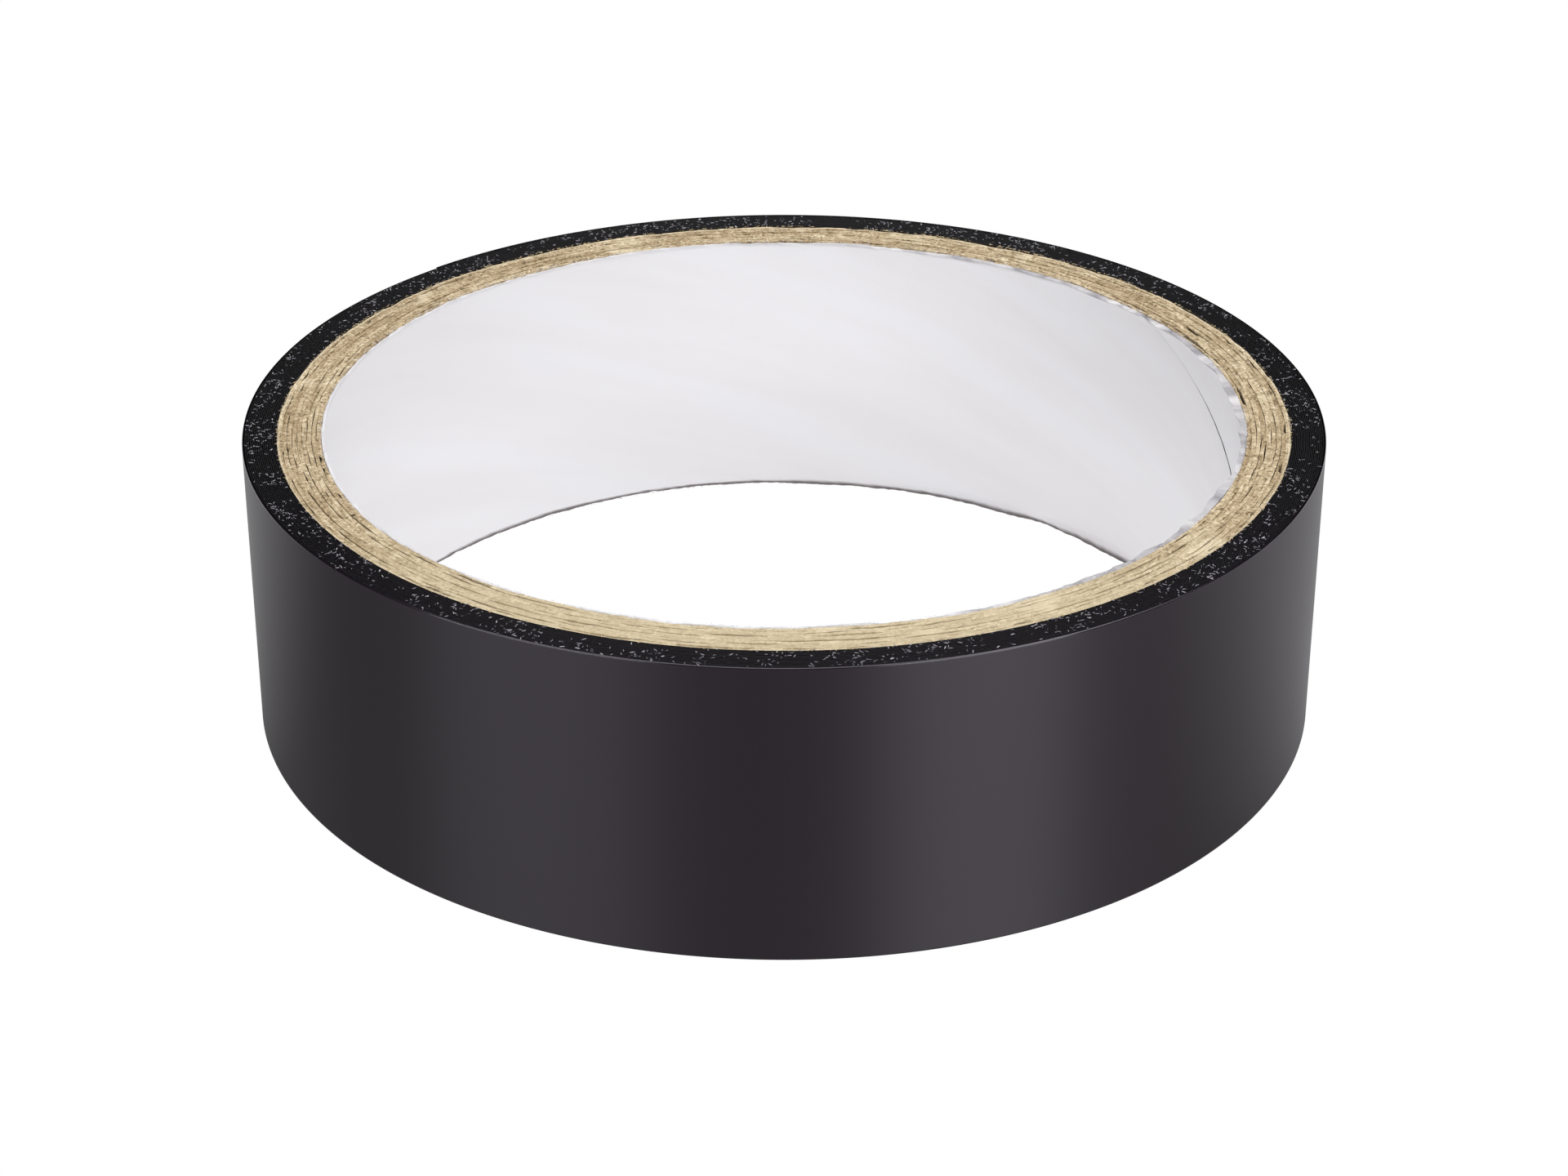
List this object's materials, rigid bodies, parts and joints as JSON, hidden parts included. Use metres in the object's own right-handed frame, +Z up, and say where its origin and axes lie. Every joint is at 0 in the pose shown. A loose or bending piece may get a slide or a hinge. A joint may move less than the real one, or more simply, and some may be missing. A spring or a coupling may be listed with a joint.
{
  "type": "electrical tape roll",
  "caption": "Roll of black satin insulating tape wound on a spiral paperboard core with a white liner; its loose end peels away from the roll.",
  "frame": {"origin": "on the core's axis, in the plane of the end face that the roll lies on", "axes": "+Z up along the core's axis; the free end of the tape is 135 degrees round from +X towards +Y, and the tape is wound towards +Y from +X as it goes outwards"},
  "size_m": [0.0894, 0.0896, 0.025],
  "materials": {
    "liner_paper": "smooth bleached paper",
    "kraft_board": "sliced kraft plies, fibrous",
    "tape_film": "satin black film"
  },
  "bodies": {
    "roll": {"core_liner": "liner_paper", "core_ply_01": "kraft_board", "core_ply_02": "kraft_board", "core_ply_03": "kraft_board", "core_ply_04": "kraft_board", "core_ply_05": "kraft_board", "core_ply_06": "kraft_board", "core_ply_07": "kraft_board", "core_ply_08": "kraft_board", "core_ply_09": "kraft_board", "tape_winding": "tape_film", "tape_outer_turn": "tape_film"},
    "lead_01": {"tape_lead_01": "tape_film"},
    "lead_02": {"tape_lead_02": "tape_film"},
    "lead_03": {"tape_lead_03": "tape_film"},
    "lead_04": {"tape_lead_04": "tape_film"},
    "lead_05": {"tape_lead_05": "tape_film"},
    "lead_06": {"tape_lead_06": "tape_film"},
    "lead_07": {"tape_lead_07": "tape_film"},
    "lead_08": {"tape_lead_08": "tape_film"},
    "lead_09": {"tape_lead_09": "tape_film"},
    "lead_10": {"tape_lead_10": "tape_film"}
  },
  "joints": [
    {"name": "peel_01", "type": "hinge", "parent": "roll", "child": "lead_01", "pos_m": [0.03163, 0.03173, 0.0125], "axis": [0, 0, -1], "range_deg": [0, 15]},
    {"name": "peel_02", "type": "hinge", "parent": "lead_01", "child": "lead_02", "pos_m": [0.02628, 0.0363, 0.0125], "axis": [0, 0, -1], "range_deg": [0, 15]},
    {"name": "peel_03", "type": "hinge", "parent": "lead_02", "child": "lead_03", "pos_m": [0.02029, 0.03997, 0.0125], "axis": [0, 0, -1], "range_deg": [0, 15]},
    {"name": "peel_04", "type": "hinge", "parent": "lead_03", "child": "lead_04", "pos_m": [0.01379, 0.04267, 0.0125], "axis": [0, 0, -1], "range_deg": [0, 15]},
    {"name": "peel_05", "type": "hinge", "parent": "lead_04", "child": "lead_05", "pos_m": [0.00696, 0.04431, 0.0125], "axis": [0, 0, -1], "range_deg": [0, 15]},
    {"name": "peel_06", "type": "hinge", "parent": "lead_05", "child": "lead_06", "pos_m": [-0.00005, 0.04486, 0.0125], "axis": [0, 0, -1], "range_deg": [0, 15]},
    {"name": "peel_07", "type": "hinge", "parent": "lead_06", "child": "lead_07", "pos_m": [-0.00706, 0.04431, 0.0125], "axis": [0, 0, -1], "range_deg": [0, 15]},
    {"name": "peel_08", "type": "hinge", "parent": "lead_07", "child": "lead_08", "pos_m": [-0.0139, 0.04267, 0.0125], "axis": [0, 0, -1], "range_deg": [0, 15]},
    {"name": "peel_09", "type": "hinge", "parent": "lead_08", "child": "lead_09", "pos_m": [-0.02039, 0.03997, 0.0125], "axis": [0, 0, -1], "range_deg": [0, 15]},
    {"name": "peel_10", "type": "hinge", "parent": "lead_09", "child": "lead_10", "pos_m": [-0.02639, 0.0363, 0.0125], "axis": [0, 0, -1], "range_deg": [0, 15]}
  ]
}
